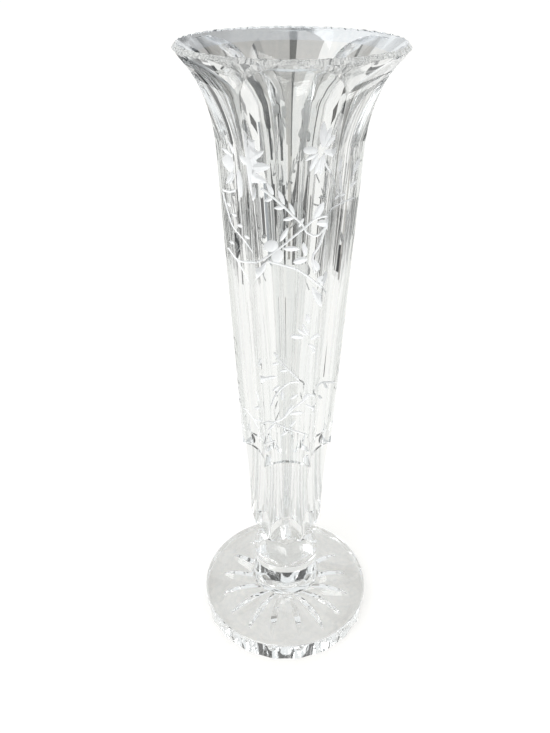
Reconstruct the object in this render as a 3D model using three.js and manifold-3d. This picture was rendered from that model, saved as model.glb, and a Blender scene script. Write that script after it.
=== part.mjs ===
// A cut-crystal trumpet vase: a hollow six-panelled bowl on a cut stem and a star-cut foot.
// Units are millimetres, +Z is up, and the origin is the middle of the foot's underside.
// The side with -Y faces a viewer in front, and one panel of the bowl faces that way.
import * as THREE from "three";
import { mergeVertices } from "three/addons/utils/BufferGeometryUtils.js";
import Module from "manifold-3d";

const wasm = await Module();
wasm.setup();

// Lengths along the axis, from the table up.
const footEdgeHeight = 11.9;
const footCrownRise = 8.1;
const collarLength = 21;
const stemFacetLength = 17;
const neckLength = 55.5;
const bodyLength = 148.5;
const flareLength = 38;

// Radii. On a panelled length they reach to its ridges.
const footRadius = 46.4;
const footCrownRadius = 19.6;
const collarFootRadius = 18.8;
const collarTopRadius = 17.6;
const stemTopRadius = 17.4;
const neckFootRadius = 18.7;
const neckTopRadius = 20.8;
const bodyFootRadius = 22.2;
const bodyTopRadius = 29.2;
const rimRadius = 43.4;

// Panels: six hollow flutes, each this deep below a flat between its two ridges.
const panelCount = 6;
const neckFootHollow = 2.4;
const neckTopHollow = 3.9;
const bodyFootHollow = 3.5;
const bodyTopHollow = 2.5;
const stemHollow = 0.4;
const panelRunOut = 20;
const panelRunOutGap = 6;
const waistStepDrop = 1.5;

// Lip: a ground bevel inside, a small one outside, and fine notches along the edge.
const lipBevelDepth = 4.6;
const lipBevelWidth = 5.7;
const lipEdgeDrop = 1.6;
const lipEdgeInset = 1.4;
const rimNotchCount = 48;
const rimNotchDepth = 0.8;

// Hollow of the bowl.
const boreFloorThickness = 7;
const boreEndRadius = 6;
const boreWaistRadius = 8;
const bodyTopWall = 9.2;

// Thumbprints ground across the lower end of each neck ridge.
const thumbprintLength = 24;
const thumbprintWidth = 14;
const thumbprintDepth = 1.6;
const thumbprintHeight = 1.5;
const thumbprintTilt = 0.25;

// Foot: rays cut into the underside, and shallow scallops round the edge.
const rayCount = 16;
const rayInnerRadius = 5;
const rayOuterRadius = 35.5;
const rayWidth = 5;
const rayDepth = 2.4;
const scallopCount = 20;
const scallopDepth = 1;
const scallopTopShare = 0.3;
const footUnderBevel = 1;
const footShoulder = 1.6;

// Bend of the curved outlines: the share of a curve's height at which it turns.
const neckBend = 0.6;
const collarBend = 0.3;
const domeBend = 0.25;

// How finely round shapes are divided.
const bowlColumns = 2 * rimNotchCount;
const stemColumns = 48;
const columnsPerScallop = 4;
const thumbprintColumns = 24;
const thumbprintRows = 16;
const curveSteps = 6;
const edgeSteps = 3;
const flareSteps = 10;
const weldTolerance = 1e-3;

const crystal = new THREE.MeshStandardMaterial({
  color: 0xf3f7f7,
  roughness: 0.03,
  metalness: 0,
  transparent: true,
  opacity: 0.35,
});

// Radius of a fluted ring at an angle from the middle of one panel.
function panelRadius(angle, ridgeRadius, hollow) {
  const half = Math.PI / panelCount;
  const fromMiddle = THREE.MathUtils.euclideanModulo(angle + half, 2 * half) - half;
  const halfChord = ridgeRadius * Math.sin(half);
  const flat = ridgeRadius * Math.cos(half);
  const wheel = (halfChord ** 2 + hollow ** 2) / (2 * hollow);
  const centre = flat - hollow + wheel;
  const across = centre * Math.sin(fromMiddle);
  return centre * Math.cos(fromMiddle) - Math.sqrt(wheel ** 2 - across ** 2);
}

// Points on the arc that leaves one point along a direction and passes through another.
function arcPoints(start, direction, end, steps) {
  const normal = new THREE.Vector2(direction.y, -direction.x).normalize();
  const chord = end.clone().sub(start);
  const radius = chord.lengthSq() / (2 * chord.dot(normal));
  const centre = start.clone().addScaledVector(normal, radius);
  const sweep = 2 * Math.asin(chord.length() / (2 * radius));
  const points = [];
  for (let step = 1; step <= steps; step++)
    points.push(start.clone().rotateAround(centre, (-sweep * step) / steps));
  return points;
}

// Turns rows of { at, shape } round the axis. A row's shape gives its radius and height at a column.
function turned(rows, columns) {
  const geometry = new THREE.LatheGeometry(
    rows.map((row) => row.at),
    columns,
  );
  const position = geometry.attributes.position;
  for (let k = 0; k < position.count; k++) {
    const column = Math.floor(k / rows.length);
    const { at, shape } = rows[k % rows.length];
    if (!shape) continue;
    const angle = (2 * Math.PI * column) / columns;
    const [radius, height] = shape(angle, column, at);
    position.setXYZ(k, radius * Math.sin(angle), height, radius * Math.cos(angle));
  }
  return geometry.rotateX(Math.PI / 2);
}

function solid(geometry) {
  const bare = geometry.clone();
  bare.deleteAttribute("normal");
  bare.deleteAttribute("uv");
  const merged = mergeVertices(bare, weldTolerance);
  return new wasm.Manifold(
    new wasm.Mesh({
      numProp: 3,
      vertProperties: merged.attributes.position.array,
      triVerts: new Uint32Array(merged.index.array),
    }),
  );
}

function pieceOf(name, body) {
  const { vertProperties, triVerts } = body.getMesh();
  const geometry = new THREE.BufferGeometry();
  geometry.setAttribute("position", new THREE.BufferAttribute(vertProperties, 3));
  geometry.setIndex(new THREE.BufferAttribute(triVerts, 1));
  geometry.computeVertexNormals();
  const mesh = new THREE.Mesh(geometry, crystal);
  mesh.name = name;
  return mesh;
}

// Copies of a cutter, one at each of so many equal turns round the axis.
function ringOf(cutter, count, firstAngle) {
  return Array.from({ length: count }, (_, k) =>
    solid(cutter.clone().rotateZ(firstAngle + (2 * Math.PI * k) / count)),
  );
}

function cutAll(body, cutters) {
  return cutters.reduce((left, cutter) => left.subtract(cutter), body);
}

const roundRow = (radius, height) => ({ at: new THREE.Vector2(radius, height) });

const panelRow = (radius, height, hollow, ridgeRadius = radius) => ({
  at: new THREE.Vector2(radius, height),
  shape: (angle, column, at) => [
    Math.min(at.x, panelRadius(angle, ridgeRadius, hollow)),
    at.y,
  ],
});

// Every second column of a notched row is cut down and in.
const notchedRow = (radius, height, drop, inset) => ({
  at: new THREE.Vector2(radius, height),
  shape: (angle, column, at) =>
    column % 2 ? [at.x - inset, at.y - drop] : [at.x, at.y],
});

// The hollow bowl, with its neck, from the bottom of the neck to the rim.
function trumpetBowl() {
  const { lerp } = THREE.MathUtils;
  const waist = neckLength;
  const flareFoot = waist + bodyLength;
  const rimHeight = flareFoot + flareLength;

  const neckRows = new THREE.QuadraticBezierCurve(
    new THREE.Vector2(neckFootRadius, 0),
    new THREE.Vector2(neckFootRadius, neckBend * neckLength),
    new THREE.Vector2(neckTopRadius, waist - waistStepDrop),
  )
    .getPoints(curveSteps)
    .map((p) => panelRow(p.x, p.y, lerp(neckFootHollow, neckTopHollow, p.y / waist)));

  const bodyRows = [0, 1 / 3, 2 / 3, 1].map((share) =>
    panelRow(
      lerp(bodyFootRadius, bodyTopRadius, share),
      lerp(waist, flareFoot, share),
      lerp(bodyFootHollow, bodyTopHollow, share),
    ),
  );

  // The flutes run out on the flare: their ridges rise past its surface, and arches are left.
  const edge = new THREE.Vector2(rimRadius, rimHeight - lipEdgeDrop);
  const bodyLean = new THREE.Vector2(bodyTopRadius - bodyFootRadius, bodyLength);
  const flatShare = Math.cos(Math.PI / panelCount);
  const runOutTop = rimHeight - panelRunOutGap;
  const flareRows = arcPoints(new THREE.Vector2(bodyTopRadius, flareFoot), bodyLean, edge, flareSteps)
    .slice(0, -1)
    .map((p) => {
      const rise = THREE.MathUtils.clamp((p.y - (runOutTop - panelRunOut)) / panelRunOut, 0, 1);
      const middle = p.x * flatShare - bodyTopHollow;
      const ridge = p.x * lerp(1, p.x / middle, rise ** 2);
      return panelRow(p.x, p.y, bodyTopHollow, ridge);
    });

  const lipRows = [
    notchedRow(edge.x, edge.y, 0, rimNotchDepth),
    notchedRow(rimRadius - lipEdgeInset, rimHeight, rimNotchDepth, 0),
  ];

  const boreTop = new THREE.Vector2(bodyTopRadius - bodyTopWall, flareFoot);
  const boreLean = new THREE.Vector2(boreTop.x - boreWaistRadius, bodyLength);
  const bevelFoot = new THREE.Vector2(
    rimRadius - lipEdgeInset - lipBevelWidth,
    rimHeight - lipBevelDepth,
  );
  const innerRows = [boreTop, ...arcPoints(boreTop, boreLean, bevelFoot, flareSteps)]
    .reverse()
    .map((p) => roundRow(p.x, p.y));

  const boreEnd = boreFloorThickness + boreEndRadius;
  const endRows = [];
  for (let step = 0; step < edgeSteps; step++) {
    const turn = ((Math.PI / 2) * step) / edgeSteps;
    endRows.push(
      roundRow(boreEndRadius * Math.cos(turn), boreEnd - boreEndRadius * Math.sin(turn)),
    );
  }

  const shell = turned(
    [
      roundRow(0, 0),
      ...neckRows,
      ...bodyRows,
      ...flareRows,
      ...lipRows,
      ...innerRows,
      roundRow(boreWaistRadius, waist),
      ...endRows,
      roundRow(0, boreFloorThickness),
    ],
    bowlColumns,
  );

  const reach = neckFootRadius + thumbprintWidth / 2 - thumbprintDepth;
  const thumb = new THREE.SphereGeometry(1, thumbprintColumns, thumbprintRows)
    .scale(thumbprintWidth / 2, thumbprintWidth / 2, thumbprintLength / 2)
    .rotateX(thumbprintTilt)
    .translate(0, -reach, thumbprintHeight);
  const ridgeAngle = Math.PI / panelCount;
  return pieceOf("trumpet_bowl", cutAll(solid(shell), ringOf(thumb, panelCount, ridgeAngle)));
}

// The solid stem: facets turned half a panel from those of the bowl, over a round flared collar.
function cutStem() {
  const halfPanel = Math.PI / panelCount;
  const facetRow = (radius, height) => ({
    at: new THREE.Vector2(radius, height),
    shape: (angle, column, at) => [panelRadius(angle + halfPanel, at.x, stemHollow), at.y],
  });
  const collar = new THREE.QuadraticBezierCurve(
    new THREE.Vector2(collarFootRadius, 0),
    new THREE.Vector2(collarTopRadius, collarBend * collarLength),
    new THREE.Vector2(collarTopRadius, collarLength),
  ).getPoints(curveSteps);
  const body = turned(
    [
      roundRow(0, 0),
      ...collar.map((p) => roundRow(p.x, p.y)),
      facetRow(collarTopRadius, collarLength),
      facetRow(stemTopRadius, collarLength + stemFacetLength),
      roundRow(0, collarLength + stemFacetLength),
    ],
    stemColumns,
  );
  return pieceOf("cut_stem", solid(body));
}

// The foot: a domed disc with a scalloped edge and a star of rays cut into its underside.
function starFoot() {
  const pitch = (2 * Math.PI) / scallopCount;
  const scallopRow = (radius, height, share) => ({
    at: new THREE.Vector2(radius, height),
    shape: (angle, column, at) => {
      const fromMiddle = THREE.MathUtils.euclideanModulo(angle + pitch / 2, pitch) - pitch / 2;
      const hollow = 1 - (fromMiddle / (pitch / 2)) ** 2;
      return [at.x - share * scallopDepth * hollow, at.y];
    },
  });
  const shoulder = new THREE.QuadraticBezierCurve(
    new THREE.Vector2(footRadius, footEdgeHeight - footShoulder),
    new THREE.Vector2(footRadius, footEdgeHeight),
    new THREE.Vector2(footRadius - footShoulder, footEdgeHeight),
  ).getPoints(edgeSteps);
  const dome = new THREE.QuadraticBezierCurve(
    new THREE.Vector2(footRadius - footShoulder, footEdgeHeight),
    new THREE.Vector2((footRadius + footCrownRadius) / 2, footEdgeHeight + domeBend * footCrownRise),
    new THREE.Vector2(footCrownRadius, footEdgeHeight + footCrownRise),
  ).getPoints(edgeSteps);
  const disc = turned(
    [
      roundRow(0, 0),
      scallopRow(footRadius - footUnderBevel, 0, 1),
      scallopRow(footRadius, footUnderBevel, 1),
      scallopRow(footRadius, footEdgeHeight - footShoulder, scallopTopShare),
      ...shoulder.slice(1).map((p) => roundRow(p.x, p.y)),
      ...dome.slice(1).map((p) => roundRow(p.x, p.y)),
      roundRow(0, footEdgeHeight + footCrownRise),
    ],
    scallopCount * columnsPerScallop,
  );
  const ray = new THREE.OctahedronGeometry(1)
    .scale(rayWidth / 2, (rayOuterRadius - rayInnerRadius) / 2, rayDepth)
    .translate(0, -(rayOuterRadius + rayInnerRadius) / 2, 0);
  const rays = ringOf(ray, rayCount, Math.PI / rayCount);
  return pieceOf("star_foot", cutAll(solid(disc), rays));
}

const vase = new THREE.Group();
const footHeight = footEdgeHeight + footCrownRise;
const foot = starFoot();
const stem = cutStem();
stem.position.z = footHeight;
const bowl = trumpetBowl();
bowl.position.z = footHeight + collarLength + stemFacetLength;
vase.add(foot, stem, bowl);

export default vase;
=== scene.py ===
import math

import bpy
from mathutils import Matrix, Vector


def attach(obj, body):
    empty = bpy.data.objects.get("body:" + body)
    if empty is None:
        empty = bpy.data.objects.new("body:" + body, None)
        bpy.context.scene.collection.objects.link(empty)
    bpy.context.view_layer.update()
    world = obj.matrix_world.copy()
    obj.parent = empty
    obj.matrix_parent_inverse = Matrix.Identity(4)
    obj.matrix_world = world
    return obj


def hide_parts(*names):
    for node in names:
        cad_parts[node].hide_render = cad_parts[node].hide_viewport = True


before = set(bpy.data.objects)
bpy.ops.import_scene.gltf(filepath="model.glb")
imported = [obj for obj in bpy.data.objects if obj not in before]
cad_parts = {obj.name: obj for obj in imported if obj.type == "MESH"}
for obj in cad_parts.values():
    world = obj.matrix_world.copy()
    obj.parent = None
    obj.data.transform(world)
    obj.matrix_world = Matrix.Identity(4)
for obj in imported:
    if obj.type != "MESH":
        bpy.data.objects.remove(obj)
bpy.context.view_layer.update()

mm = 0.001  # the sizes below are in millimetres, as a glass cutter writes them
fullTurn = 2 * math.pi
panelCount = 6
halfPanel = math.pi / panelCount
weldDistance = 1e-6
smoothAngle = 12  # in degrees: a ground edge stays crisp, a spun surface is smooth


def clearSelection():
    if bpy.context.mode != "OBJECT":
        bpy.ops.object.mode_set(mode="OBJECT")
    bpy.ops.object.select_all(action="DESELECT")


def makeActive(piece):
    clearSelection()
    piece.select_set(True)
    bpy.context.view_layer.objects.active = piece


def added(name, material=None):
    piece = bpy.context.object
    piece.name = piece.data.name = name
    if material:
        piece.data.materials.append(material)
    return piece


def copyOf(piece):
    copy = piece.copy()
    copy.data = piece.data.copy()
    bpy.context.collection.objects.link(copy)
    return copy


def mix(low, high, share):
    return low + (high - low) * share


def shareOf(value, low, high):
    return min(1, max(0, (value - low) / (high - low)))


def bezier(start, bend, end, steps):
    points = []
    for step in range(steps + 1):
        t = step / steps
        points.append(tuple(
            (1 - t) ** 2 * a + 2 * t * (1 - t) * b + t * t * c
            for a, b, c in zip(start, bend, end)
        ))
    return points


def arcFrom(start, lean, end, steps):
    # points on the arc that leaves start along lean and passes through end
    start, end = Vector(start), Vector(end)
    normal = Vector((lean[1], -lean[0])).normalized()
    chord = end - start
    radius = chord.length_squared / (2 * chord.dot(normal))
    centre = start + normal * radius
    sweep = 2 * math.asin(chord.length / (2 * radius))
    arm = start - centre
    points = []
    for step in range(1, steps + 1):
        turn = Matrix.Rotation(-sweep * step / steps, 2)
        points.append(tuple(centre + turn @ arm))
    return points


# Materials


def newMaterial(name):
    material = bpy.data.materials.new(name)
    material.use_nodes = True
    nodes = material.node_tree.nodes
    return material, nodes, material.node_tree.links, nodes["Principled BSDF"]


def streaks(nodes, links, scale, detail, distance, strength):
    # fine polishing streaks that run up the glass
    place = nodes.new("ShaderNodeTexCoord")
    stretch = nodes.new("ShaderNodeMapping")
    stretch.inputs["Scale"].default_value = scale
    noise = nodes.new("ShaderNodeTexNoise")
    noise.inputs["Scale"].default_value = 1
    noise.inputs["Detail"].default_value = detail
    bump = nodes.new("ShaderNodeBump")
    bump.inputs["Distance"].default_value = distance
    bump.inputs["Strength"].default_value = strength
    links.new(place.outputs["Object"], stretch.inputs["Vector"])
    links.new(stretch.outputs["Vector"], noise.inputs["Vector"])
    links.new(noise.outputs["Fac"], bump.inputs["Height"])
    return noise, bump


def ramp(nodes, links, source, low, high, lowAt=0.35, highAt=0.65):
    shades = nodes.new("ShaderNodeValToRGB")
    shades.color_ramp.elements[0].position = lowAt
    shades.color_ramp.elements[0].color = (*low, 1)
    shades.color_ramp.elements[1].position = highAt
    shades.color_ramp.elements[1].color = (*high, 1)
    links.new(source, shades.inputs["Fac"])
    return shades


def crystalGlass(name, finish):
    material, nodes, links, surface = newMaterial(name)
    surface.inputs["IOR"].default_value = finish["ior"]
    surface.inputs["Transmission Weight"].default_value = finish["transmission"]
    noise, bump = streaks(
        nodes, links, finish["streakScale"], finish["streakDetail"],
        finish["streakDepth"] * mm, finish["streakStrength"],
    )
    tint = ramp(nodes, links, noise.outputs["Fac"], finish["tintLow"], finish["tintHigh"])
    links.new(tint.outputs["Color"], surface.inputs["Base Color"])
    rough = nodes.new("ShaderNodeMapRange")
    rough.inputs["To Min"].default_value = finish["roughLow"]
    rough.inputs["To Max"].default_value = finish["roughHigh"]
    links.new(noise.outputs["Fac"], rough.inputs["Value"])
    links.new(rough.outputs["Result"], surface.inputs["Roughness"])
    links.new(bump.outputs["Normal"], surface.inputs["Normal"])
    return material


polishedCrystal = crystalGlass("polishedCrystal", {
    "ior": 1.545,
    "transmission": 1,
    "tintLow": (0.82, 0.835, 0.835),
    "tintHigh": (0.89, 0.89, 0.88),
    "roughLow": 0,
    "roughHigh": 0.03,
    "streakScale": (420, 420, 14),
    "streakDetail": 2,
    "streakDepth": 0.05,
    "streakStrength": 0.04,
})

# rougher glass whose blue-grey tint is painted shade, for the back of the lip's inner bevel
satinLipPaintedShade = crystalGlass("satinLipPaintedShade", {
    "ior": 1.545,
    "transmission": 0.85,
    "tintLow": (0.72, 0.76, 0.81),
    "tintHigh": (0.8, 0.83, 0.87),
    "roughLow": 0.06,
    "roughHigh": 0.12,
    "streakScale": (600, 600, 600),
    "streakDetail": 3,
    "streakDepth": 0.05,
    "streakStrength": 0.2,
})

mattEngraving = crystalGlass("mattEngraving", {
    "ior": 1.5,
    "transmission": 0.05,
    "tintLow": (0.95, 0.955, 0.955),
    "tintHigh": (0.99, 0.99, 0.985),
    "roughLow": 0.45,
    "roughHigh": 0.7,
    "streakScale": (3000, 3000, 3000),
    "streakDetail": 5,
    "streakDepth": 0.08,
    "streakStrength": 0.5,
})


def fusedSeam():
    # where two pieces are melted together the light passes as through one glass
    material = bpy.data.materials.new("fusedSeam")
    material.use_nodes = True
    nodes, links = material.node_tree.nodes, material.node_tree.links
    nodes.remove(nodes["Principled BSDF"])
    clear = nodes.new("ShaderNodeBsdfTransparent")
    links.new(clear.outputs["BSDF"], nodes["Material Output"].inputs["Surface"])
    return material


seamGlass = fusedSeam()
print("materials mixed")

# Blanks and wheels


def spinBlank(name, outline, columns):
    # the outline, from the axis below to the axis above, spun round as on a lathe
    clearSelection()
    bpy.ops.mesh.primitive_plane_add(size=mm)
    blank = added(name, polishedCrystal)
    bpy.ops.object.mode_set(mode="EDIT")
    bpy.ops.mesh.merge(type="CENTER")
    at = Vector()
    for number, (radius, height) in enumerate(outline):
        point = Vector((radius, 0, height)) * mm
        if number == 0:
            bpy.ops.transform.translate(value=point - at)
        else:
            bpy.ops.mesh.extrude_region_move(TRANSFORM_OT_translate={"value": point - at})
        at = point
    bpy.ops.mesh.select_all(action="SELECT")
    bpy.ops.mesh.spin(
        steps=columns, angle=fullTurn, use_auto_merge=True, center=(0, 0, 0), axis=(0, 0, 1)
    )
    bpy.ops.mesh.select_all(action="SELECT")
    bpy.ops.mesh.remove_doubles(threshold=weldDistance)
    bpy.ops.mesh.normals_make_consistent(inside=False)
    bpy.ops.object.mode_set(mode="OBJECT")
    return blank


def panelRadius(angle, ridge, hollow):
    # how far a hollow flute lies from the axis, by the angle from its middle
    halfChord = ridge * math.sin(halfPanel)
    wheel = (halfChord ** 2 + hollow ** 2) / (2 * hollow)
    centre = ridge * math.cos(halfPanel) - hollow + wheel
    return centre * math.cos(angle) - math.sqrt(wheel ** 2 - (centre * math.sin(angle)) ** 2)


def flutePoint(share, height, ridge, hollow):
    angle = mix(-halfPanel, halfPanel, share)
    radius = panelRadius(angle, ridge, hollow)
    return Vector((radius * math.sin(angle), -radius * math.cos(angle), height))


def fluteWheel(name, rows, shape):
    # what a grinding wheel takes away in one flute: rows are height, ridge radius and hollow,
    # and one more column at either hand carries the hollow on past the ridges
    columns = shape["wheelColumns"]
    clearSelection()
    bpy.ops.mesh.primitive_grid_add(
        x_subdivisions=columns + 2, y_subdivisions=len(rows) - 1, size=1
    )
    wheel = added(name, polishedCrystal)
    for vertex in wheel.data.vertices:
        column = round((vertex.co.x + 0.5) * (columns + 2)) - 1
        row = rows[round((vertex.co.y + 0.5) * (len(rows) - 1))]
        inner = min(columns, max(0, column))
        spot = flutePoint(inner / columns, *row)
        if column != inner:
            spot = spot * 2 - flutePoint(abs(inner - 1) / columns, *row)
        vertex.co = spot * mm
    bpy.ops.object.mode_set(mode="EDIT")
    bpy.ops.mesh.select_all(action="SELECT")
    outwards = (0, -shape["wheelReach"] * mm, 0)
    bpy.ops.mesh.extrude_region_move(TRANSFORM_OT_translate={"value": outwards})
    bpy.ops.mesh.select_all(action="SELECT")
    bpy.ops.mesh.normals_make_consistent(inside=False)
    bpy.ops.object.mode_set(mode="OBJECT")
    return wheel


def ringOf(wheel, count, firstAngle=0):
    # copies of a wheel at equal turns round the axis; the wheel itself takes the first place
    home = wheel.matrix_world.copy()
    wheels = []
    for number in range(count):
        copy = wheel if number == 0 else wheel.copy()
        if number:
            bpy.context.collection.objects.link(copy)
        copy.matrix_world = Matrix.Rotation(firstAngle + fullTurn * number / count, 4, "Z") @ home
        wheels.append(copy)
    return wheels


def carve(piece, wheels, operation="DIFFERENCE"):
    # grinds the wheels out of the piece, and leaves their finish on it
    bench = bpy.data.collections.new("bench")
    for wheel in wheels:
        bench.objects.link(wheel)
    bpy.context.view_layer.update()
    makeActive(piece)
    cut = piece.modifiers.new("cut", "BOOLEAN")
    cut.operation = operation
    cut.operand_type = "COLLECTION"
    cut.collection = bench
    cut.solver = "MANIFOLD"
    cut.material_mode = "TRANSFER"
    bpy.ops.object.modifier_apply(modifier=cut.name)
    if piece.modifiers:
        raise RuntimeError(f"a wheel for {piece.name} is not closed")
    for wheel in wheels:
        bpy.data.objects.remove(wheel)
    bpy.data.collections.remove(bench)


def placedIn(piece):
    # puts an object's place, turn and scale into its mesh
    makeActive(piece)
    bpy.ops.object.transform_apply(location=True, rotation=True, scale=True)
    return piece


def finishPiece(piece, node):
    makeActive(piece)
    bpy.ops.object.shade_smooth_by_angle(angle=math.radians(smoothAngle))
    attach(piece, "root")
    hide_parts(node)
    print(piece.name, "done,", len(piece.data.polygons), "faces")


# Bowl

bowlShape = {
    "foot": 58,
    "ridgeFoot": 106.5,
    "stepFoot": 113.45,
    "waist": 113.5,
    "flareFoot": 262,
    "neckFootRadius": 18.7,
    "neckTopRadius": 20.8,
    "bodyFootRadius": 22.2,
    "bodyTopRadius": 29.2,
    "lipEdge": (43.4, 298.4),
    "lipTop": (42, 300),
    "bevelFoot": (36.3, 295.4),
    "neckBend": 0.6,
    "neckHollows": (2.4, 5.8),
    "bodyHollows": (3.5, 2.5),
    "lipHollow": 0.3,
    "hollowFades": (264, 288),
    "runOutFoot": 284,
    "runOutTop": 298,
    "boreTopRadius": 20,
    "boreWaistRadius": 8,
    "boreEndRadius": 6,
    "boreFloor": 65,
    "spare": 0.05,  # what the blank has left for grinding, until it fades out under the run-out
    "spareFade": 2,
    "overrun": 1,  # how far a wheel runs past an end
    "columns": 256,
    "wheelColumns": 48,
    "wheelReach": 40,
    "neckSteps": 14,
    "bodySteps": 16,
    "flareSteps": 28,
    "boreSteps": 24,
    "boreEndSteps": 8,
}


def bowlRows(shape):
    # radius, height, hollow and ridge radius of the outside, from the bottom up
    rows = []
    foot, waist, flareFoot = shape["foot"], shape["waist"], shape["flareFoot"]
    bend = (shape["neckFootRadius"], mix(foot, waist, shape["neckBend"]))
    neckTop = (shape["neckTopRadius"], shape["stepFoot"])
    for radius, height in bezier(
        (shape["neckFootRadius"], foot), bend, neckTop, shape["neckSteps"]
    ):
        # just under the waist the ridges widen to the body's own, and the flutes stay as deep
        widening = shareOf(height, shape["ridgeFoot"], shape["stepFoot"])
        ridge = mix(radius, shape["bodyFootRadius"], widening)
        hollow = mix(*shape["neckHollows"], (height - foot) / (waist - foot))
        hollow += (ridge - radius) * math.cos(halfPanel)
        rows.append((ridge, height, hollow, ridge))
    for step in range(shape["bodySteps"] + 1):
        share = step / shape["bodySteps"]
        radius = mix(shape["bodyFootRadius"], shape["bodyTopRadius"], share)
        hollow = mix(*shape["bodyHollows"], share)
        rows.append((radius, mix(waist, flareFoot, share), hollow, radius))
    bodyTop = (shape["bodyTopRadius"], flareFoot)
    lean = (shape["bodyTopRadius"] - shape["bodyFootRadius"], flareFoot - waist)
    for radius, height in arcFrom(bodyTop, lean, shape["lipEdge"], shape["flareSteps"])[:-1]:
        fading = shareOf(height, *shape["hollowFades"])
        hollow = mix(shape["bodyHollows"][1], shape["lipHollow"], fading)
        # the ridges rise past the surface, so that the flutes run out in arches
        rise = shareOf(height, shape["runOutFoot"], shape["runOutTop"])
        middle = radius * math.cos(halfPanel) - hollow
        rows.append((radius, height, hollow, radius * mix(1, radius / middle, rise ** 2)))
    return rows


def bowlOutline(shape, rows):
    # up the outside, over the lip and down the bore
    outline = [(0, shape["foot"])]
    for radius, height, hollow, ridge in rows:
        left = shareOf(shape["runOutFoot"] - height, 0, shape["spareFade"])
        outline.append((radius + shape["spare"] * left, height))
    outline += [shape["lipEdge"], shape["lipTop"]]
    boreTop = (shape["boreTopRadius"], shape["flareFoot"])
    boreWaist = (shape["boreWaistRadius"], shape["waist"])
    lean = (boreTop[0] - boreWaist[0], boreTop[1] - boreWaist[1])
    flare = arcFrom(boreTop, lean, shape["bevelFoot"], shape["boreSteps"])
    outline += reversed([boreTop] + flare)
    outline.append(boreWaist)
    end = shape["boreEndRadius"]
    for step in range(shape["boreEndSteps"] + 1):
        turn = math.pi / 2 * step / shape["boreEndSteps"]
        outline.append((end * math.cos(turn), shape["boreFloor"] + end - end * math.sin(turn)))
    outline[-1] = (0, shape["boreFloor"])
    return outline


rows = bowlRows(bowlShape)
bowl = spinBlank("trumpetBowl", bowlOutline(bowlShape, rows), bowlShape["columns"])
fluteRows = [(height, ridge, hollow) for radius, height, hollow, ridge in rows]
fluteRows.insert(0, (bowlShape["foot"] - bowlShape["overrun"], *fluteRows[0][1:]))
carve(bowl, ringOf(fluteWheel("fluteWheel", fluteRows, bowlShape), panelCount))
print("flutes ground")

thumbprint = {
    "length": 24,
    "width": 14,
    "depth": 1.6,
    "height": 59.5,
    "tilt": 0.25,
    "segments": 48,
    "rings": 32,
}


def thumbWheel(shape, neckRadius):
    # an egg that takes the thumbprint's depth off a ridge
    clearSelection()
    reach = neckRadius + shape["width"] / 2 - shape["depth"]
    bpy.ops.mesh.primitive_uv_sphere_add(
        segments=shape["segments"], ring_count=shape["rings"], radius=mm,
        location=(0, -reach * mm, shape["height"] * mm), rotation=(shape["tilt"], 0, 0),
    )
    wheel = added("thumbWheel", polishedCrystal)
    wheel.scale = (shape["width"] / 2, shape["width"] / 2, shape["length"] / 2)
    return placedIn(wheel)


carve(bowl, ringOf(thumbWheel(thumbprint, bowlShape["neckFootRadius"]), panelCount, halfPanel))
print("thumbprints ground")

lipNotch = {
    "count": 48,
    "depth": 0.32,
    "wheelRadius": 7,
    "wheelWidth": 12,
    "segments": 96,
}


def notchWheel(shape, edge, top):
    # a wheel that leans as the lip's outer bevel does
    clearSelection()
    bevel = Vector((top[0] - edge[0], top[1] - edge[1])).normalized()
    outward = Vector((bevel.y, -bevel.x))
    reach = shape["wheelRadius"] - shape["depth"]
    centre = (Vector(edge) + Vector(top)) / 2 + outward * reach
    bpy.ops.mesh.primitive_cylinder_add(
        vertices=shape["segments"], radius=shape["wheelRadius"] * mm,
        depth=shape["wheelWidth"] * mm, location=(0, -centre.x * mm, centre.y * mm),
        rotation=(math.atan2(bevel.x, bevel.y), 0, 0),
    )
    return placedIn(added("notchWheel", polishedCrystal))


notches = notchWheel(lipNotch, bowlShape["lipEdge"], bowlShape["lipTop"])
carve(bowl, ringOf(notches, lipNotch["count"], math.pi / lipNotch["count"]))
print("lip notched")

# Engraving: a place is an angle from the middle of a panel, in degrees, and a height;
# a leaf or petal has its two ends and its width

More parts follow.
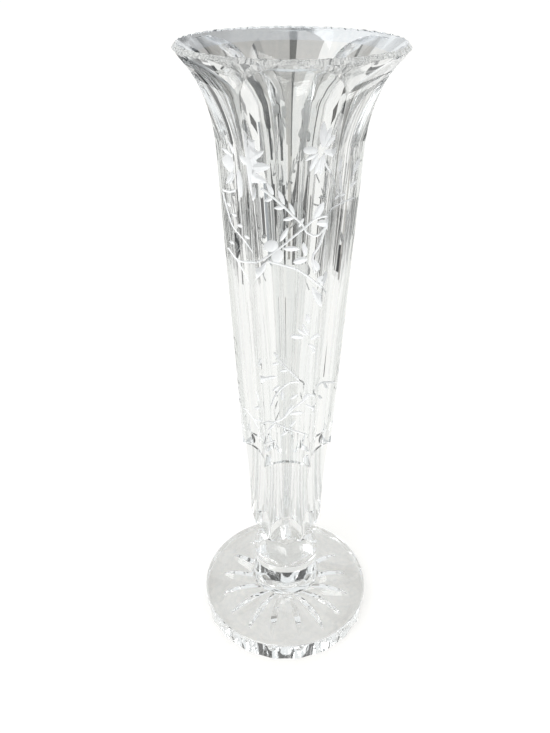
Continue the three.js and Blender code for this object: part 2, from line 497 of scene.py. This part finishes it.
sprays = {
    "girth": 26,  # the radius at which angles are turned into lengths
    "vineWidth": 1,
    "vineStep": 1.2,
    "vineDegree": 0.45,  # about the length of one degree, for the steps along a vine
    "blades": {  # how high the blade is held, how deep it cuts, and its facets round and along
        "leaves": {"lift": 0.5, "depth": 0.28, "facets": (4, 12)},
        "petals": {"lift": 0.35, "depth": 0.2, "facets": (10, 14)},
    },
    "widthDepth": 0.1,
    # where the sprays are centred: the front and the back, each with how low they reach there
    # and how far to either hand
    "sides": {0: (100, 90), 180: (205, 62)},
    "vines": [
        [(-25, 253), (-16, 249), (-6, 245), (4, 241), (12, 238), (16, 235), (24, 234), (29, 238)],
        [(-88, 220), (-77, 216), (-50, 219), (-26, 224), (-19, 226), (-9, 229), (3, 233),
         (14, 237), (23, 241), (36, 243), (68, 242), (86, 242)],
        [(29, 238), (26, 230), (22, 225), (24, 218)],
        [(-22, 223), (-9, 221), (7, 219), (19, 216), (27, 213), (48, 205)],
        [(-88, 244), (-84, 235), (-79, 230), (-62, 227), (-41, 225)],
        [(-79, 216), (-69, 212), (-58, 209)],
        [(25, 266), (29, 260), (46, 252)],
        [(-88, 245), (-82, 245), (-71, 247)],
        [(23, 184), (26, 182), (27, 180)],
        [(-18, 179), (-9, 173), (1, 169), (14, 164)],
        [(14, 163), (1, 162), (-10, 159), (-18, 155), (-22, 150)],
        [(-21, 140), (-10, 141), (2, 145), (19, 152), (29, 157), (60, 156), (88, 151)],
        [(-87, 136), (-71, 132), (-53, 128)],
        [(-71, 132), (-45, 137), (-28, 141), (-19, 139), (2, 135), (23, 133)],
        [(-48, 129), (-19, 128)],
    ],
    "leaves": [
        (24, 268, 22, 278, 2), (-42, 261, -18, 261, 4.4), (-43, 261, -27, 271, 3.6),
        (-44, 262, -36, 273, 2.6), (-42, 261, -22, 267, 3.4), (-42, 261, -21, 255, 3.8),
        (-43, 261, -31, 249, 3.6), (-77, 266, -68, 261, 2), (-85, 262, -72, 260, 2),
        (-84, 248, -72, 255, 1.8), (-81, 248, -70, 254, 1.4), (25, 269, 27, 276, 1.3),
        (26, 268, 29, 273, 1.1), (22, 266, 12, 263, 1.5), (22, 266, 16, 259, 1.7),
        (24, 265, 20, 258, 1.5), (25, 266, 24, 258, 1.3), (56, 256, 66, 246, 2.5),
        (62, 246, 47, 246, 1.2), (62, 246, 74, 245, 1.2), (62, 246, 70, 242, 1.2),
        (62, 246, 50, 250, 1.2), (82, 252, 87, 258, 2.2), (78, 247, 87, 249, 1.6),
        (-21, 255, -16, 250, 1.7), (-23, 248, -17, 249, 1.7), (-12, 252, -6, 246, 1.9),
        (-16, 245, -6, 245, 1.7), (-2, 247, 4, 242, 1.7), (-8, 240, 4, 241, 1.7),
        (13, 241, 8, 237, 1.3), (-11, 231, -2, 237, 2.1), (-8, 228, 10, 228, 2.3),
        (21, 240, 27, 248, 2.3), (23, 239, 33, 240, 3), (13, 231, 16, 225, 2.3),
        (3, 222, 18, 224, 3.1), (22, 224, 26, 219, 2.7), (23, 212, 30, 203, 2.4),
        (-85, 240, -81, 239, 1.4), (-81, 236, -73, 236, 1.4), (-74, 232, -62, 233, 1.6),
        (-61, 229, -45, 230, 1.6), (-86, 223, -80, 223, 1.4), (-30, 216, -23, 223, 2.1),
        (15, 194, 22, 188, 1.6), (1, 187, 18, 187, 2.5), (20, 199, 21, 194, 2),
        (10, 191, 20, 188, 1.9), (29, 190, 24, 186, 1.4), (28, 182, 24, 184, 1.5),
        (-44, 168, -29, 177, 1.7), (-40, 166, -14, 166, 2.2), (-21, 173, -13, 173, 1.7),
        (-12, 169, -1, 169, 1.7), (-21, 158, -12, 161, 2), (-9, 159, -8, 152, 2),
        (-6, 142, 9, 150, 2.2), (3, 144, 22, 146, 2.2), (4, 153, 14, 156, 1.8),
        (19, 152, 26, 158, 2), (22, 151, 46, 147, 2), (-58, 152, -45, 147, 2.3),
        (53, 150, 70, 145, 1.8), (66, 156, 80, 149, 1.8), (-26, 136, -19, 139, 1.8),
        (4, 136, 12, 141, 1.8), (-11, 131, 2, 134, 1.8), (-69, 139, -45, 145, 1.8),
    ],
    "petals": [
        (-85, 256, -71, 258, 4.8), (-62, 256, -62, 245, 3.9), (-44, 261, -27, 261, 5),
        (-42, 261, -58, 261, 2.3), (21, 267, 10, 267, 2.2), (25, 267, 40, 266, 2.2),
        (57, 261, 56, 256, 2.3), (-18, 232, -19, 227, 4.2), (-12, 228, -14, 222, 3.9),
        (26, 216, 46, 213, 4),
    ],
}
probeReach = 60  # a radius well outside the glass


def outwardAt(angle):
    turn = math.radians(angle)
    return Vector((math.sin(turn), -math.cos(turn), 0))


def surfacePoint(piece, angle, height):
    # where a level line towards the axis meets the outside
    outward = outwardAt(angle)
    start = outward * probeReach * mm + Vector((0, 0, height * mm))
    return piece.ray_cast(start, -outward)[1]


def bladeWheel(name, facets):
    # a unit blade along X, pointed at both ends
    segments, rings = facets
    clearSelection()
    bpy.ops.mesh.primitive_uv_sphere_add(
        segments=segments, ring_count=rings, radius=1, rotation=(0, math.pi / 2, 0)
    )
    return placedIn(added(name, mattEngraving))


def bladeAt(blade, piece, pattern, place, side, cut):
    # a copy of the blade bent to the glass, so that a leaf may cross a ridge
    startAngle, startHeight, endAngle, endHeight, width = place
    lift = cut["lift"]
    perDegree = pattern["girth"] * math.radians(1)
    start = Vector((startAngle * perDegree, startHeight))
    end = Vector((endAngle * perDegree, endHeight))
    along = (end - start).normalized()
    across = Vector((-along.y, along.x))
    halfLength = (end - start).length / 2 / math.sqrt(1 - lift ** 2)
    halfWidth = width / 2 / (1 - lift)
    middle = (start + end) / 2
    deep = (cut["depth"] + pattern["widthDepth"] * width) / (1 - lift)
    copy = copyOf(blade)
    for vertex in copy.data.vertices:
        spot = middle + along * vertex.co.x * halfLength
        spot += across * vertex.co.y * halfWidth
        angle = spot.x / perDegree + side
        surface = surfacePoint(piece, angle, spot.y)
        vertex.co = surface + outwardAt(angle) * (vertex.co.z + lift) * deep * mm
    return copy


def softPoint(t, p, q, r, s):
    # between q and r, on the soft curve that passes through all four
    square = (2 * p - 5 * q + 4 * r - s) * t * t
    cube = (3 * q - p - 3 * r + s) * t ** 3
    return 0.5 * (2 * q + (r - p) * t + square + cube)


def smoothPath(places, pattern):
    # the vine's own points with a soft curve through them
    path = []
    for number in range(len(places) - 1):
        a, b = places[max(0, number - 1)], places[number]
        c, d = places[number + 1], places[min(len(places) - 1, number + 2)]
        length = math.hypot((c[0] - b[0]) * pattern["vineDegree"], c[1] - b[1])
        pieces = max(2, round(length / pattern["vineStep"]))
        for part in range(pieces):
            path.append(tuple(softPoint(part / pieces, *values) for values in zip(a, b, c, d)))
    return path + [places[-1]]


def vineWheel(piece, pattern, places, side):
    curve = bpy.data.curves.new("vine", "CURVE")
    curve.dimensions = "3D"
    curve.bevel_depth = pattern["vineWidth"] / 2 * mm
    curve.bevel_resolution = 0  # four-sided, so that the vine is cut as a V
    curve.use_fill_caps = True
    line = curve.splines.new("POLY")
    path = smoothPath(places, pattern)
    line.points.add(len(path) - 1)
    for point, (angle, height) in zip(line.points, path):
        point.co = (*surfacePoint(piece, angle + side, height), 1)
    vine = bpy.data.objects.new("vine", curve)
    bpy.context.collection.objects.link(vine)
    makeActive(vine)
    bpy.ops.object.convert(target="MESH")
    vine = bpy.context.object
    bpy.ops.object.mode_set(mode="EDIT")
    bpy.ops.mesh.select_all(action="SELECT")
    bpy.ops.mesh.remove_doubles(threshold=weldDistance)
    bpy.ops.mesh.normals_make_consistent(inside=False)
    bpy.ops.object.mode_set(mode="OBJECT")
    vine.data.materials.clear()
    vine.data.materials.append(mattEngraving)
    return vine


def inReach(places, foot, hand):
    return (min(height for angle, height in places) >= foot
            and max(abs(angle) for angle, height in places) <= hand)


def engrave(piece, pattern):
    bpy.context.view_layer.update()
    cuts = pattern["blades"]
    blades = {kind: bladeWheel(kind + "Blade", cuts[kind]["facets"]) for kind in cuts}
    wheels = []
    for side, (foot, hand) in pattern["sides"].items():
        for kind, blade in blades.items():
            for place in pattern[kind]:
                if inReach((place[:2], place[2:4]), foot, hand):
                    wheels.append(bladeAt(blade, piece, pattern, place, side, cuts[kind]))
        for places in pattern["vines"]:
            if inReach(places, foot, hand):
                wheels.append(vineWheel(piece, pattern, places, side))
    for blade in blades.values():
        bpy.data.objects.remove(blade)
    carve(piece, wheels)


engrave(bowl, sprays)
print("sprays engraved")

# Stem

stemShape = {
    "foot": 20,
    "facetFoot": 41,
    "top": 58,
    "collarFootRadius": 18.8,
    "collarTopRadius": 17.6,
    "topRadius": 17.4,
    "collarBend": 0.3,
    "hollow": 0.4,
    "spare": 0.05,
    "overrun": 1,
    "columns": 256,
    "collarSteps": 16,
    "facetSteps": 8,
    "wheelColumns": 12,
    "wheelReach": 20,
}


def stemOutline(shape):
    outline = [(0, shape["foot"])]
    outline += bezier(
        (shape["collarFootRadius"], shape["foot"]),
        (shape["collarTopRadius"], mix(shape["foot"], shape["facetFoot"], shape["collarBend"])),
        (shape["collarTopRadius"], shape["facetFoot"]),
        shape["collarSteps"],
    )
    outline.append((shape["topRadius"] + shape["spare"], shape["top"]))
    outline.append((0, shape["top"]))
    return outline


def stemRows(shape):
    # height, ridge radius and hollow of the facets, from the bottom up
    rows = []
    for step in range(shape["facetSteps"] + 1):
        share = step / shape["facetSteps"]
        ridge = mix(shape["collarTopRadius"], shape["topRadius"], share)
        rows.append((mix(shape["facetFoot"], shape["top"], share), ridge, shape["hollow"]))
    rows.append((shape["top"] + shape["overrun"], *rows[-1][1:]))
    return rows


stem = spinBlank("cutStem", stemOutline(stemShape), stemShape["columns"])
facet = fluteWheel("facetWheel", stemRows(stemShape), stemShape)
carve(stem, ringOf(facet, panelCount, halfPanel))
print("stem faceted")

# Foot

footShape = {
    "radius": 46.4,
    "crownRadius": 19.6,
    "edgeHeight": 11.9,
    "top": 20,
    "underBevel": 1,
    "shoulder": 1.6,
    "domeBend": 0.25,
    "columns": 320,
    "shoulderSteps": 6,
    "domeSteps": 14,
}


def footOutline(shape):
    radius, edge, shoulder = shape["radius"], shape["edgeHeight"], shape["shoulder"]
    shoulderFoot, shoulderTop = (radius, edge - shoulder), (radius - shoulder, edge)
    bend = ((radius + shape["crownRadius"]) / 2, mix(edge, shape["top"], shape["domeBend"]))
    crown = (shape["crownRadius"], shape["top"])
    outline = [(0, 0), (radius - shape["underBevel"], 0), (radius, shape["underBevel"])]
    outline += bezier(shoulderFoot, (radius, edge), shoulderTop, shape["shoulderSteps"])
    outline += bezier(shoulderTop, bend, crown, shape["domeSteps"])[1:]
    outline.append((0, shape["top"]))
    return outline


foot = spinBlank("starFoot", footOutline(footShape), footShape["columns"])

scallop = {
    "count": 20,
    "footDepth": 1,
    "topDepth": 0.3,
    "topHeight": 10.3,
    "wheelRadius": 27,
    "wheelWidth": 40,
    "segments": 192,
}


def scallopWheel(shape, footRadius):
    # leans outwards, so that the scallop gets shallower upwards
    clearSelection()
    tilt = math.atan2(shape["footDepth"] - shape["topDepth"], shape["topHeight"])
    reach = footRadius - shape["footDepth"] + shape["wheelRadius"] / math.cos(tilt)
    bpy.ops.mesh.primitive_cylinder_add(
        vertices=shape["segments"], radius=shape["wheelRadius"] * mm,
        depth=shape["wheelWidth"] * mm, location=(0, -reach * mm, 0), rotation=(tilt, 0, 0),
    )
    return placedIn(added("scallopWheel", polishedCrystal))


carve(foot, ringOf(scallopWheel(scallop, footShape["radius"]), scallop["count"]))

star = {
    "count": 16,
    "innerRadius": 5,
    "outerRadius": 35.5,
    "width": 6.5,
    "depth": 1.6,
    "rings": 16,
}


def rayWheel(shape):
    # four-sided and pointed at both ends, so that each ray is a narrow V
    clearSelection()
    middle = (shape["innerRadius"] + shape["outerRadius"]) / 2
    halfLength = (shape["outerRadius"] - shape["innerRadius"]) / 2
    bpy.ops.mesh.primitive_uv_sphere_add(
        segments=4, ring_count=shape["rings"], radius=mm,
        location=(0, -middle * mm, 0), rotation=(math.pi / 2, 0, 0),
    )
    wheel = added("rayWheel", polishedCrystal)
    wheel.scale = (shape["width"] / 2, shape["depth"], halfLength)
    return placedIn(wheel)


carve(foot, ringOf(rayWheel(star), star["count"], math.pi / star["count"]))
print("foot scalloped and starred")

# Seams: a thin disc of the upper piece lies in the lower one, with both faces clear

seam = {
    "depth": 0.1,
    "stemRadius": 18.8,
    "slabSize": 80,
    "segments": 256,
}


def seamDisc(shape):
    clearSelection()
    bpy.ops.mesh.primitive_cylinder_add(
        vertices=shape["segments"], radius=shape["stemRadius"] * mm, depth=shape["depth"] * mm,
        location=(0, 0, (stemShape["foot"] - shape["depth"] / 2) * mm),
    )
    return placedIn(added("seamDisc", seamGlass))


def seamPrint(shape):
    # the bowl's lowest slice, kept where it lies over the stem
    clearSelection()
    middle = bowlShape["foot"] - shape["depth"] / 2
    bpy.ops.mesh.primitive_cube_add(size=shape["slabSize"] * mm, location=(0, 0, middle * mm))
    slab = added("seamPrint", seamGlass)
    slab.scale = (1, 1, shape["depth"] / shape["slabSize"])
    placedIn(slab)
    lowered = copyOf(bowl)
    lowered.location.z -= shape["depth"] * mm
    carve(slab, [lowered], "INTERSECT")
    carve(slab, [copyOf(stem)], "INTERSECT")
    slab.data.materials.clear()
    slab.data.materials.append(seamGlass)
    for face in slab.data.polygons:
        face.material_index = 0
    return slab


neckSeam = seamPrint(seam)
carve(stem, [copyOf(neckSeam)])
carve(bowl, [neckSeam], "UNION")
carve(foot, [seamDisc(seam)])
carve(stem, [seamDisc(seam)], "UNION")
print("seams fused")

# The bevel inside the lip is rougher and a little less clear than the rest, apart from its front,
# which the photo shows clear; its blue-grey tint there is painted shade

paintedShadeBevel = {
    "foot": 295.4,
    "radius": 42.1,
    "leastRise": 0.3,  # of the faces' normals, so that the bore and the outside stay clear
    "front": -12,
}


def onPaintedShadeBevel(face, bevel):
    centre = face.center / mm
    inside = math.hypot(centre.x, centre.y) < bevel["radius"]
    facesUp = face.normal.z > bevel["leastRise"]
    return centre.z > bevel["foot"] and inside and facesUp and centre.y > bevel["front"]


bowl.data.materials.append(satinLipPaintedShade)
paintedShadeSlot = len(bowl.data.materials) - 1
for face in bowl.data.polygons:
    if onPaintedShadeBevel(face, paintedShadeBevel):
        face.material_index = paintedShadeSlot

finishPiece(bowl, "trumpet_bowl")
finishPiece(stem, "cut_stem")
finishPiece(foot, "star_foot")

# Studio

studio = {
    "floorSize": 14,
    "floorDrop": 0.25 * mm,
    "floorColor": (0.35, 0.35, 0.35, 1),
    "floorRoughness": 0.9,
    "glowColor": (1, 0.985, 0.95, 1),
    "floorGlow": 0.65,
    "skyColor": (0.96, 0.985, 1, 1),
    "skyStrength": 1,
    # painted reflections: sheets that glow in their own grey or dark shade, hidden from the camera
    # and from the light on the object, so that only the glass shows them as its dark lines: each
    # has its distance, the azimuths it spans (0 is straight behind, right is positive), its foot,
    # top and shade
    "paintedReflections": [
        (0.052, -64, -30, 0.252, 0.275, (0.03, 0.033, 0.036, 1)),
        (0.1, -150, -104, 0.163, 0.21, (0.4, 0.43, 0.45, 1)),
        (0.1, -98, -72, 0.18, 0.203, (0.14, 0.14, 0.14, 1)),
        (0.1, -60, -40, 0.178, 0.203, (0.4, 0.4, 0.4, 1)),
        (0.1, 40, 50, 0.172, 0.19, (0.25, 0.25, 0.25, 1)),
        (0.1, -42, -28, 0.225, 0.272, (0.03, 0.033, 0.036, 1)),
        (0.1, -14, 1, 0.236, 0.272, (0.54, 0.53, 0.51, 1)),
        (0.1, 1, 4, 0.23, 0.275, (0.04, 0.04, 0.04, 1)),
        (0.1, -36, -22, 0.163, 0.21, (0.02, 0.022, 0.024, 1)),
        (0.1, -9, 5, 0.166, 0.182, (0.34, 0.33, 0.31, 1)),
        (0.1, -9, 5, 0.182, 0.236, (0.56, 0.55, 0.52, 1)),
        (0.1, 16, 28, 0.163, 0.2, (0.04, 0.04, 0.04, 1)),
        (0.1, 29, 37, 0.163, 0.225, (0.04, 0.04, 0.04, 1)),
        (0.1, 64, 80, 0.165, 0.205, (0.12, 0.115, 0.11, 1)),
        (0.1, -29, -24, 0.1, 0.142, (0.05, 0.05, 0.05, 1)),
        (0.3, 37, 44, 0.08, 0.24, (0.12, 0.12, 0.12, 1)),
        (0.4, -25, -15.2, 0.16, 0.32, (0.66, 0.65, 0.64, 1)),
        (0.4, -15.2, -14, 0.16, 0.32, (0.12, 0.12, 0.12, 1)),
        (0.4, -14, -11, 0.16, 0.32, (0.38, 0.375, 0.36, 1)),
        (0.4, -11, 1, 0.16, 0.32, (0.5, 0.49, 0.47, 1)),
        (0.4, 1, 4, 0.16, 0.32, (0.13, 0.13, 0.12, 1)),
        (0.4, 4, 15, 0.2, 0.32, (0.64, 0.63, 0.61, 1)),
        # low and overhead, for the stem's collar, the waist and the edge of the foot
        (0.4, -45, 30, 0.05, 0.08, (0.05, 0.052, 0.055, 1)),
        (0.6, -46, -20, 0.52, 0.8, (0.05, 0.052, 0.055, 1)),
        (0.6, -20, 20, 0.44, 0.6, (0.05, 0.05, 0.05, 1)),
        (0.6, -20, 20, 0.7, 0.86, (0.05, 0.05, 0.05, 1)),
        (0.6, 20, 46, 0.52, 1.3, (0.06, 0.06, 0.06, 1)),
    ],
    # one large softbox above the camera's left shoulder
    "softbox": {"place": (-0.7, -1, 1.5), "aim": (0, 0, 0.15), "size": 1, "energy": 14},
}


def lightPathSeen(nodes, links, strength):
    # the same strength for the camera and for what the glass shows, and none for the light
    # on the object
    path = nodes.new("ShaderNodeLightPath")
    seen = path.outputs["Is Camera Ray"]
    for kind in ("Is Glossy Ray", "Is Transmission Ray"):
        either = nodes.new("ShaderNodeMath")
        either.operation = "MAXIMUM"
        links.new(seen, either.inputs[0])
        links.new(path.outputs[kind], either.inputs[1])
        seen = either.outputs["Value"]
    glow = nodes.new("ShaderNodeMath")
    glow.operation = "MULTIPLY"
    glow.inputs[1].default_value = strength
    links.new(seen, glow.inputs[0])
    return glow.outputs["Value"]


def addFloor(setup):
    clearSelection()
    bpy.ops.mesh.primitive_plane_add(size=setup["floorSize"], location=(0, 0, -setup["floorDrop"]))
    floor = added("floor")
    material, nodes, links, surface = newMaterial("paleFloor")
    surface.inputs["Base Color"].default_value = setup["floorColor"]
    surface.inputs["Roughness"].default_value = setup["floorRoughness"]
    surface.inputs["Emission Color"].default_value = setup["glowColor"]
    links.new(lightPathSeen(nodes, links, setup["floorGlow"]), surface.inputs["Emission Strength"])
    floor.data.materials.append(material)
    placedIn(floor)


# a painted reflection: a sheet that glows in its given shade and that only the glass shows
def addPaintedReflection(number, distance, azimuthFrom, azimuthTo, foot, top, shade):
    turn = math.radians((azimuthFrom + azimuthTo) / 2)
    clearSelection()
    bpy.ops.mesh.primitive_plane_add(
        size=1, rotation=(math.pi / 2, 0, -turn),
        location=(distance * math.sin(turn), distance * math.cos(turn), (foot + top) / 2),
    )
    paintedReflection = added(f"card_{number}")
    halfWidth = distance * math.tan(math.radians(azimuthTo - azimuthFrom) / 2)
    paintedReflection.scale = (2 * halfWidth, top - foot, 1)
    material, nodes, links, surface = newMaterial(f"paintedReflectionShade_{number}")
    # the shade is painted into the sheet's glow; no lamp lights it
    surface.inputs["Base Color"].default_value = (0, 0, 0, 1)
    surface.inputs["Specular IOR Level"].default_value = 0
    surface.inputs["Emission Color"].default_value = shade
    surface.inputs["Emission Strength"].default_value = 1
    paintedReflection.data.materials.append(material)
    # hidden from the camera, from the light on the object and from shadows, so the painted
    # reflection shows only in the glass
    paintedReflection.visible_camera = paintedReflection.visible_diffuse = paintedReflection.visible_shadow = False
    placedIn(paintedReflection)


def addSoftbox(place, aim, size, energy):
    bpy.ops.object.light_add(type="AREA", location=place)
    softbox = bpy.context.object
    softbox.name = "softbox"
    softbox.data.size = size
    softbox.data.energy = energy
    beam = Vector(aim) - Vector(place)
    softbox.rotation_euler = beam.to_track_quat("-Z", "Y").to_euler()


addFloor(studio)
for number, paintedReflection in enumerate(studio["paintedReflections"]):
    addPaintedReflection(number, *paintedReflection)
addSoftbox(**studio["softbox"])

world = bpy.data.worlds.new("paleStudio")
world.use_nodes = True
bpy.context.scene.world = world
sky = world.node_tree.nodes["Background"]
sky.inputs["Color"].default_value = studio["skyColor"]
sky.inputs["Strength"].default_value = studio["skyStrength"]

# Camera

shot = {
    "place": (-0.006, -0.2732, 0.3352),
    "pitch": 57.23,
    "lens": 33.73,
    "sensorWidth": 36,
    "clipStart": 0.01,
    "bounces": 32,  # light turns many times inside thick glass
}

clearSelection()
bpy.ops.object.camera_add(location=shot["place"], rotation=(math.radians(shot["pitch"]), 0, 0))
camera = bpy.context.object
camera.data.lens = shot["lens"]
camera.data.sensor_width = shot["sensorWidth"]
camera.data.clip_start = shot["clipStart"]
bpy.context.scene.camera = camera
bpy.context.scene.view_settings.view_transform = "Standard"
paths = bpy.context.scene.cycles
paths.max_bounces = paths.transmission_bounces = paths.glossy_bounces = shot["bounces"]
print("studio set")
